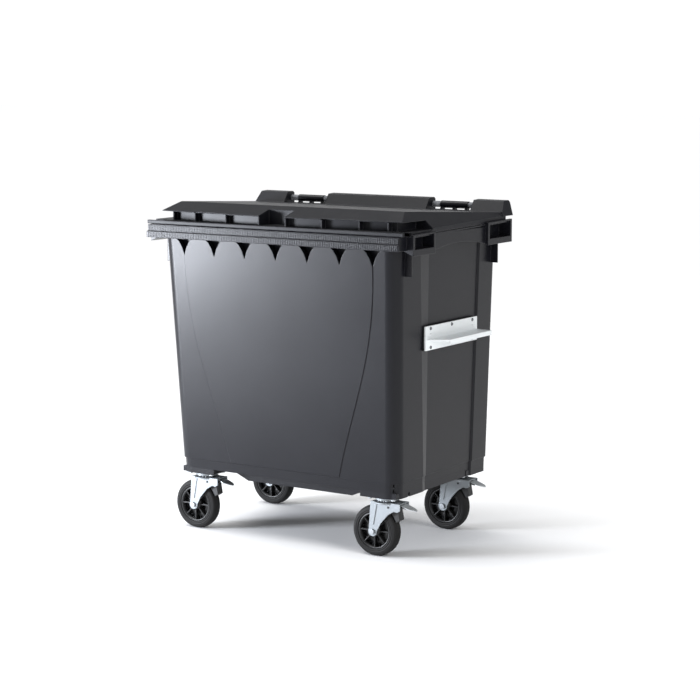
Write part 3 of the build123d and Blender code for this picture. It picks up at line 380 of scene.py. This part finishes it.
def build_ribbed_ring():
    """A tube along Z with evenly spaced ribs around it, as on sleeves and hubs."""
    number = "NodeSocketFloat"
    tree, start, end = geometry_tree("ribbed_ring", [
        ("Ribs", "NodeSocketInt", 8), ("Rib Inner Radius", number, 0.02), ("Rib Outer Radius", number, 0.06),
        ("Rib Thickness", number, 0.005), ("Rib Width", number, 0.03), ("Tube Radius", number, 0.02),
        ("Tube Wall", number, 0.004), ("Tube Width", number, 0.04), ("Steps", "NodeSocketInt", 64),
        ("Material", "NodeSocketMaterial", None)])
    reach = math_node(tree, "SUBTRACT", start.outputs["Rib Outer Radius"], start.outputs["Rib Inner Radius"])
    both = math_node(tree, "ADD", start.outputs["Rib Outer Radius"], start.outputs["Rib Inner Radius"])
    middle = math_node(tree, "MULTIPLY", both, 0.5)
    circle = node(tree, "GeometryNodeMeshCircle")
    tree.links.new(start.outputs["Ribs"], circle.inputs["Vertices"])
    tree.links.new(middle, circle.inputs["Radius"])
    rib_size = node(tree, "ShaderNodeCombineXYZ")
    tree.links.new(reach, rib_size.inputs[0])
    tree.links.new(start.outputs["Rib Thickness"], rib_size.inputs[1])
    tree.links.new(start.outputs["Rib Width"], rib_size.inputs[2])
    rib = node(tree, "GeometryNodeMeshCube")
    tree.links.new(rib_size.outputs[0], rib.inputs["Size"])
    spot = node(tree, "GeometryNodeInputPosition")
    turn = node(tree, "FunctionNodeAlignRotationToVector", axis="X")
    tree.links.new(spot.outputs[0], turn.inputs["Vector"])
    ribs = node(tree, "GeometryNodeInstanceOnPoints")
    tree.links.new(circle.outputs["Mesh"], ribs.inputs["Points"])
    tree.links.new(rib.outputs["Mesh"], ribs.inputs["Instance"])
    tree.links.new(turn.outputs["Rotation"], ribs.inputs["Rotation"])
    path = node(tree, "GeometryNodeCurvePrimitiveCircle", mode="RADIUS")
    tree.links.new(start.outputs["Steps"], path.inputs["Resolution"])
    tree.links.new(start.outputs["Tube Radius"], path.inputs["Radius"])
    section = node(tree, "GeometryNodeCurvePrimitiveQuadrilateral", mode="RECTANGLE")
    tree.links.new(start.outputs["Tube Wall"], section.inputs["Width"])
    tree.links.new(start.outputs["Tube Width"], section.inputs["Height"])
    tube = node(tree, "GeometryNodeCurveToMesh")
    tree.links.new(path.outputs["Curve"], tube.inputs["Curve"])
    tree.links.new(section.outputs["Curve"], tube.inputs["Profile Curve"])
    together = node(tree, "GeometryNodeJoinGeometry")
    tree.links.new(ribs.outputs["Instances"], together.inputs[0])
    tree.links.new(tube.outputs["Mesh"], together.inputs[0])
    real = node(tree, "GeometryNodeRealizeInstances")
    tree.links.new(together.outputs[0], real.inputs[0])
    painted = node(tree, "GeometryNodeSetMaterial")
    tree.links.new(real.outputs[0], painted.inputs["Geometry"])
    tree.links.new(start.outputs["Material"], painted.inputs["Material"])
    tree.links.new(painted.outputs[0], end.inputs["Geometry"])
    return tree


ribbed_ring = build_ribbed_ring()
steel = finish_material("plated_steel", (0.40, 0.42, 0.44), (0.75, 0.75, 0.75), 0.32, metallic=1.0,
                        grain=(500.0, 30.0), edge=(0.0008, 0.5, 60.0), dust=0.05)
sleeve_plastic = finish_material("sleeve_nylon", (0.33, 0.34, 0.36), (0.6, 0.6, 0.6), 0.42,
                                 grain=(900.0, 60.0), edge=(0.0005, 0.6, 80.0), dust=0.1)
wear_material(["hinge_pins"], steel)
SLEEVE_R = 0.0125
SLEEVE_INNER_END = 0.0636    # from the middle of a hinge to a sleeve's inner end
SLEEVE_OUTER_END = 0.103     # and to its outer end
SLEEVE_SLACK = 0.0004
SLEEVE_RIBS = 14
sleeve_low, sleeve_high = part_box("hinge_bushes")
hinge_middle = sleeve_high[0] - SLEEVE_OUTER_END
hinge_y = (sleeve_low[1] + sleeve_high[1]) / 2
hinge_z = (sleeve_low[2] + sleeve_high[2]) / 2
sleeve_length = SLEEVE_OUTER_END - SLEEVE_INNER_END
sleeve = {"Ribs": SLEEVE_RIBS, "Rib Inner Radius": 0.0095, "Rib Outer Radius": SLEEVE_R - 0.0001,
          "Rib Thickness": 0.0019, "Rib Width": sleeve_length - SLEEVE_SLACK, "Tube Radius": 0.0084,
          "Tube Wall": 0.0046, "Tube Width": sleeve_length - SLEEVE_SLACK, "Steps": 40,
          "Material": sleeve_plastic}
sleeve_meshes = []
for side in (-1, 1):
    for end in (-1, 1):
        centre = side * hinge_middle + end * (SLEEVE_INNER_END + SLEEVE_OUTER_END) / 2
        lie = Matrix.Translation((centre, hinge_y, hinge_z)) @ Matrix.Rotation(math.pi / 2, 4, "Y")
        sleeve_meshes.append(mesh_from_tree(ribbed_ring, sleeve, lie))
sleeves = piece_from_mesh("hinge_sleeves", joined(sleeve_meshes), sleeve_plastic)
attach(sleeves, "lid")
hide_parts("hinge_bushes")


# ---- side lifting brackets ----------------------------------------------------
# Pressed plates with a tongue, hot-dip galvanised to a pale blue-grey bloom.
# Six darker coach bolts with low domed heads hold each one and its packing.
galvanised = finish_material("galvanised_steel", (0.86, 0.89, 0.90), (0.94, 0.96, 0.97), 0.50, metallic=0.20,
                             grain=(220.0, 16.0), bump=0.00015, edge=(0.0014, 0.5, 60.0), dust=0.05,
                             cloud=0.10)
wear_material(["side_bracket_right", "side_bracket_left"], galvanised)
wear_material(["bracket_packings"], black_plastic)


SHANK_SIDES = 12


def build_bolt_grid():
    """Rows of bolts whose round or six-sided heads face +Z and shanks go to -Z."""
    number = "NodeSocketFloat"
    tree, start, end = geometry_tree("bolt_grid", [
        ("Columns", "NodeSocketInt", 3), ("Rows", "NodeSocketInt", 2), ("Length", number, 0.3),
        ("Height", number, 0.07), ("Head Sides", "NodeSocketInt", 6), ("Head Radius", number, 0.007),
        ("Head Height", number, 0.003), ("Dome Share", number, 0.7), ("Shank Radius", number, 0.004),
        ("Shank Length", number, 0.02), ("Material", "NodeSocketMaterial", None)])
    grid = node(tree, "GeometryNodeMeshGrid")
    tree.links.new(start.outputs["Columns"], grid.inputs["Vertices X"])
    tree.links.new(start.outputs["Rows"], grid.inputs["Vertices Y"])
    tree.links.new(start.outputs["Length"], grid.inputs["Size X"])
    tree.links.new(start.outputs["Height"], grid.inputs["Size Y"])
    top_radius = math_node(tree, "MULTIPLY", start.outputs["Head Radius"], start.outputs["Dome Share"])
    head = node(tree, "GeometryNodeMeshCone")
    tree.links.new(start.outputs["Head Sides"], head.inputs["Vertices"])
    tree.links.new(start.outputs["Head Radius"], head.inputs["Radius Bottom"])
    tree.links.new(top_radius, head.inputs["Radius Top"])
    tree.links.new(start.outputs["Head Height"], head.inputs["Depth"])
    shank = node(tree, "GeometryNodeMeshCone")
    shank.inputs["Vertices"].default_value = SHANK_SIDES
    tree.links.new(start.outputs["Shank Radius"], shank.inputs["Radius Bottom"])
    tree.links.new(start.outputs["Shank Radius"], shank.inputs["Radius Top"])
    tree.links.new(start.outputs["Shank Length"], shank.inputs["Depth"])
    down = node(tree, "ShaderNodeCombineXYZ")
    tree.links.new(math_node(tree, "MULTIPLY", start.outputs["Shank Length"], -1.0), down.inputs[2])
    lowered = node(tree, "GeometryNodeTransform")
    tree.links.new(down.outputs[0], lowered.inputs["Translation"])
    tree.links.new(shank.outputs["Mesh"], lowered.inputs["Geometry"])
    together = node(tree, "GeometryNodeJoinGeometry")
    tree.links.new(head.outputs["Mesh"], together.inputs[0])
    tree.links.new(lowered.outputs[0], together.inputs[0])
    bolts = node(tree, "GeometryNodeInstanceOnPoints")
    tree.links.new(grid.outputs["Mesh"], bolts.inputs["Points"])
    tree.links.new(together.outputs[0], bolts.inputs["Instance"])
    real = node(tree, "GeometryNodeRealizeInstances")
    tree.links.new(bolts.outputs["Instances"], real.inputs[0])
    painted = node(tree, "GeometryNodeSetMaterial")
    tree.links.new(real.outputs[0], painted.inputs["Geometry"])
    tree.links.new(start.outputs["Material"], painted.inputs["Material"])
    tree.links.new(painted.outputs[0], end.inputs["Geometry"])
    return tree


bolt_grid = build_bolt_grid()
dark_steel = finish_material("bolt_steel", (0.16, 0.165, 0.175), (0.45, 0.45, 0.45), 0.40, metallic=1.0,
                             grain=(600.0, 40.0), edge=(0.0006, 0.5, 80.0), dust=0.1)
HEAD_R = 0.007
HEAD_H = 0.003
bolt_low, bolt_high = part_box("bracket_bolts")
columns_y = (bolt_low[1] + bolt_high[1]) / 2
rows_z = (bolt_low[2] + bolt_high[2]) / 2
coach_bolts = {"Columns": 3, "Rows": 2, "Length": bolt_high[1] - bolt_low[1] - 2 * HEAD_R,
               "Height": bolt_high[2] - bolt_low[2] - 2 * HEAD_R, "Head Sides": 20, "Head Radius": HEAD_R,
               "Head Height": HEAD_H, "Dome Share": 0.72, "Shank Radius": 0.004, "Shank Length": 0.045,
               "Material": dark_steel}
bolt_meshes = []
for side in (-1, 1):
    outward = Matrix(((0, 0, side, side * (bolt_high[0] - HEAD_H)), (side, 0, 0, columns_y),
                      (0, 1, 0, rows_z), (0, 0, 0, 1)))
    bolt_meshes.append(mesh_from_tree(bolt_grid, coach_bolts, outward))
bracket_bolts = piece_from_mesh("bracket_coach_bolts", joined(bolt_meshes), dark_steel)
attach(bracket_bolts, "bin")
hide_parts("bracket_bolts")
wear_material(["bracket_nuts"], steel)


# ---- castor plates, forks and bearings -----------------------------------------
# Zinc-plated pressings: a bolted top plate dished over a ring of balls, and a
# fork whose legs taper to the axle. The kingpin is headed over in the middle.
zinc = finish_material("zinc_plate", (0.265, 0.285, 0.300), (0.66, 0.69, 0.72), 0.54, metallic=0.70,
                       grain=(260.0, 30.0), bump=0.00015, edge=(0.0014, 0.5, 60.0), dust=0.06,
                       cloud=0.16)
CORNERS = ("front_left", "front_right", "rear_left", "rear_right")
for corner in CORNERS:
    wear_material([f"castor_plate_{corner}", f"castor_fork_{corner}"], zinc)
    wear_material([f"castor_kingpin_{corner}", f"castor_balls_{corner}", f"wheel_bearing_{corner}"], steel)
    wear_material([f"axle_bolt_{corner}", f"axle_nut_{corner}"], steel)
wear_material(["castor_bolts", "castor_nuts"], steel)


# ---- brakes -----------------------------------------------------------------------
# A black-finished lever with its shoe swings under the fork. A leaf-shaped
# pedal, pressed from thin plate with a turned-up edge, is riveted to its end.
PEDAL_STEPS = 14
PEDAL_ACROSS = 10
PEDAL_PLATE = 0.0022
PEDAL_ROOT_HALF = 0.0205     # half its width at the lever
PEDAL_SWELL = 0.0035         # what each side gains towards the middle
PEDAL_TIP_START = 0.30       # where along it the sides begin to close in
PEDAL_DROP = 0.0165
PEDAL_DISH = 0.0030
PEDAL_EDGE_RISE = 0.0034
pedal_zinc = finish_material("pedal_zinc", (0.62, 0.65, 0.67), (0.85, 0.86, 0.88), 0.38, metallic=0.45,
                             grain=(300.0, 30.0), edge=(0.0010, 0.6, 70.0), dust=0.12)
for corner in CORNERS:
    wear_material([f"brake_lever_{corner}"], black_plastic)
    low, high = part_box(f"brake_pedal_{corner}")
    middle = (low[1] + high[1]) / 2
    leaf = bmesh.new()
    rows = []
    for step in range(PEDAL_STEPS + 1):
        along = step / PEDAL_STEPS
        half = PEDAL_ROOT_HALF + PEDAL_SWELL * math.sin(math.pi * min(along / 0.5, 1.0) / 2)
        half *= math.sqrt(max(1.0 - max((along - PEDAL_TIP_START) / 0.705, 0.0) ** 1.9, 0.0))
        x = low[0] + 0.001 + (high[0] - low[0] - 0.0015) * along
        base = high[2] - 0.0035 - PEDAL_DROP * along ** 1.4
        dish = PEDAL_DISH * math.sin(math.pi * along)
        row = []
        for cut in range(PEDAL_ACROSS + 1):
            across = 2.0 * cut / PEDAL_ACROSS - 1.0
            rise = PEDAL_EDGE_RISE * abs(across) ** 3 * (1.0 - 0.4 * along)
            row.append(leaf.verts.new((x, middle + half * across, base + rise - dish)))
        rows.append(row)
    for first, second in zip(rows, rows[1:]):
        for cut in range(PEDAL_ACROSS):
            face = leaf.faces.new((first[cut], second[cut], second[cut + 1], first[cut + 1]))
            face.smooth = True
    bmesh.ops.remove_doubles(leaf, verts=leaf.verts, dist=0.00002)
    bmesh.ops.recalc_face_normals(leaf, faces=leaf.faces)
    pedal_mesh = bpy.data.meshes.new("pedal")
    leaf.to_mesh(pedal_mesh)
    leaf.free()
    pedal = piece_from_mesh(f"pedal_{corner}", pedal_mesh, pedal_zinc)
    plate = pedal.modifiers.new("plate", "SOLIDIFY")
    plate.thickness = PEDAL_PLATE
    plate.offset = -1.0
    rounded = pedal.modifiers.new("edge", "BEVEL")
    rounded.width = 0.0006
    rounded.segments = 2
    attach(pedal, f"brake_{corner}")
    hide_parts(f"brake_pedal_{corner}")


# ---- wheels -----------------------------------------------------------------------
# A black moulded hub with eight thin spokes on a thin web, and a solid rubber
# tyre with two raised rings on each side and grooves around the tread.
hub_plastic = finish_material("hub_plastic", (0.0045, 0.0045, 0.0050), (0.03, 0.03, 0.03), 0.38,
                              grain=(900.0, 25.0), edge=(0.0012, 0.8, 60.0), dust=0.10)
tyre_rubber = finish_material("tyre_rubber", (0.0080, 0.0078, 0.0077), (0.04, 0.04, 0.04), 0.66,
                              grain=(700.0, 14.0), bump=0.0003, edge=(0.0012, 0.5, 50.0), dust=0.10,
                              cloud=0.5, specular=0.25)
MM = 0.001
# Half of the tyre's section in mm, from the bore over one side to the tread:
# each pair is a radius and a distance from the middle of the wheel.
TYRE_HALF = [
    (72.0, 22.0), (73.6, 23.4), (75.2, 24.6), (77.0, 24.9), (78.4, 24.4), (79.2, 23.2), (80.6, 23.0),
    (81.6, 23.8), (83.2, 24.6), (85.0, 24.3), (86.0, 23.3), (87.4, 23.2), (89.4, 23.0), (91.6, 22.2),
    (93.8, 20.9), (95.8, 19.0), (97.4, 16.8), (98.5, 14.4), (99.1, 12.2), (98.0, 11.7), (97.8, 10.9),
    (98.2, 10.2), (99.5, 9.7), (99.9, 7.0), (100.0, 4.9), (98.8, 4.4), (98.6, 3.5), (98.8, 2.6), (100.0, 2.1)]
TYRE_STEPS = 112
SPOKES = 8
section = TYRE_HALF + [(radius, -offset) for radius, offset in reversed(TYRE_HALF)]
for corner in CORNERS:
    low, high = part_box(f"tyre_{corner}")
    centre = [(a + b) / 2 for a, b in zip(low, high)]
    ring = bmesh.new()
    loops = []
    for step in range(TYRE_STEPS):
        angle = 2.0 * math.pi * step / TYRE_STEPS
        loop = []
        for radius, offset in section:
            loop.append(ring.verts.new((centre[0] + radius * MM * math.cos(angle), centre[1] + offset * MM,
                                        centre[2] + radius * MM * math.sin(angle))))
        loops.append(loop)
    for step in range(TYRE_STEPS):
        first, second = loops[step], loops[(step + 1) % TYRE_STEPS]
        for index in range(len(section)):
            after = (index + 1) % len(section)
            face = ring.faces.new((first[index], first[after], second[after], second[index]))
            face.smooth = True
    bmesh.ops.recalc_face_normals(ring, faces=ring.faces)
    tyre_mesh = bpy.data.meshes.new("tyre")
    ring.to_mesh(tyre_mesh)
    ring.free()
    tyre = piece_from_mesh(f"moulded_tyre_{corner}", tyre_mesh, tyre_rubber)
    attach(tyre, f"wheel_{corner}")
    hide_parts(f"tyre_{corner}")

    hub_low, hub_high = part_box(f"wheel_hub_{corner}")
    hub_r = (hub_high[2] - hub_low[2]) / 2
    hub_w = hub_high[1] - hub_low[1]
    lie = Matrix.Translation(centre) @ Matrix.Rotation(math.pi / 2, 4, "X")
    rim = {"Ribs": SPOKES, "Rib Inner Radius": 0.017, "Rib Outer Radius": hub_r - 0.003,
           "Rib Thickness": 0.0055, "Rib Width": hub_w - 0.014, "Tube Radius": hub_r - 0.0036,
           "Tube Wall": 0.007, "Tube Width": hub_w - 0.004, "Steps": 96, "Material": hub_plastic}
    boss = {"Ribs": SPOKES, "Rib Inner Radius": 0.020, "Rib Outer Radius": hub_r - 0.006,
            "Rib Thickness": 0.0030, "Rib Width": hub_w - 0.008, "Tube Radius": 0.0176,
            "Tube Wall": 0.0088, "Tube Width": hub_w, "Steps": 48, "Material": hub_plastic}
    web = {"Ribs": 3 * SPOKES, "Rib Inner Radius": 0.055, "Rib Outer Radius": hub_r - 0.006,
           "Rib Thickness": 0.0020, "Rib Width": 0.012, "Tube Radius": (0.020 + hub_r - 0.004) / 2,
           "Tube Wall": hub_r - 0.024, "Tube Width": 0.005, "Steps": 72, "Material": hub_plastic}
    hub_mesh = joined([mesh_from_tree(ribbed_ring, values, lie) for values in (rim, boss, web)])
    hub = piece_from_mesh(f"spoked_hub_{corner}", hub_mesh, hub_plastic)
    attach(hub, f"wheel_{corner}")
    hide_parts(f"wheel_hub_{corner}")


low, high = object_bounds()
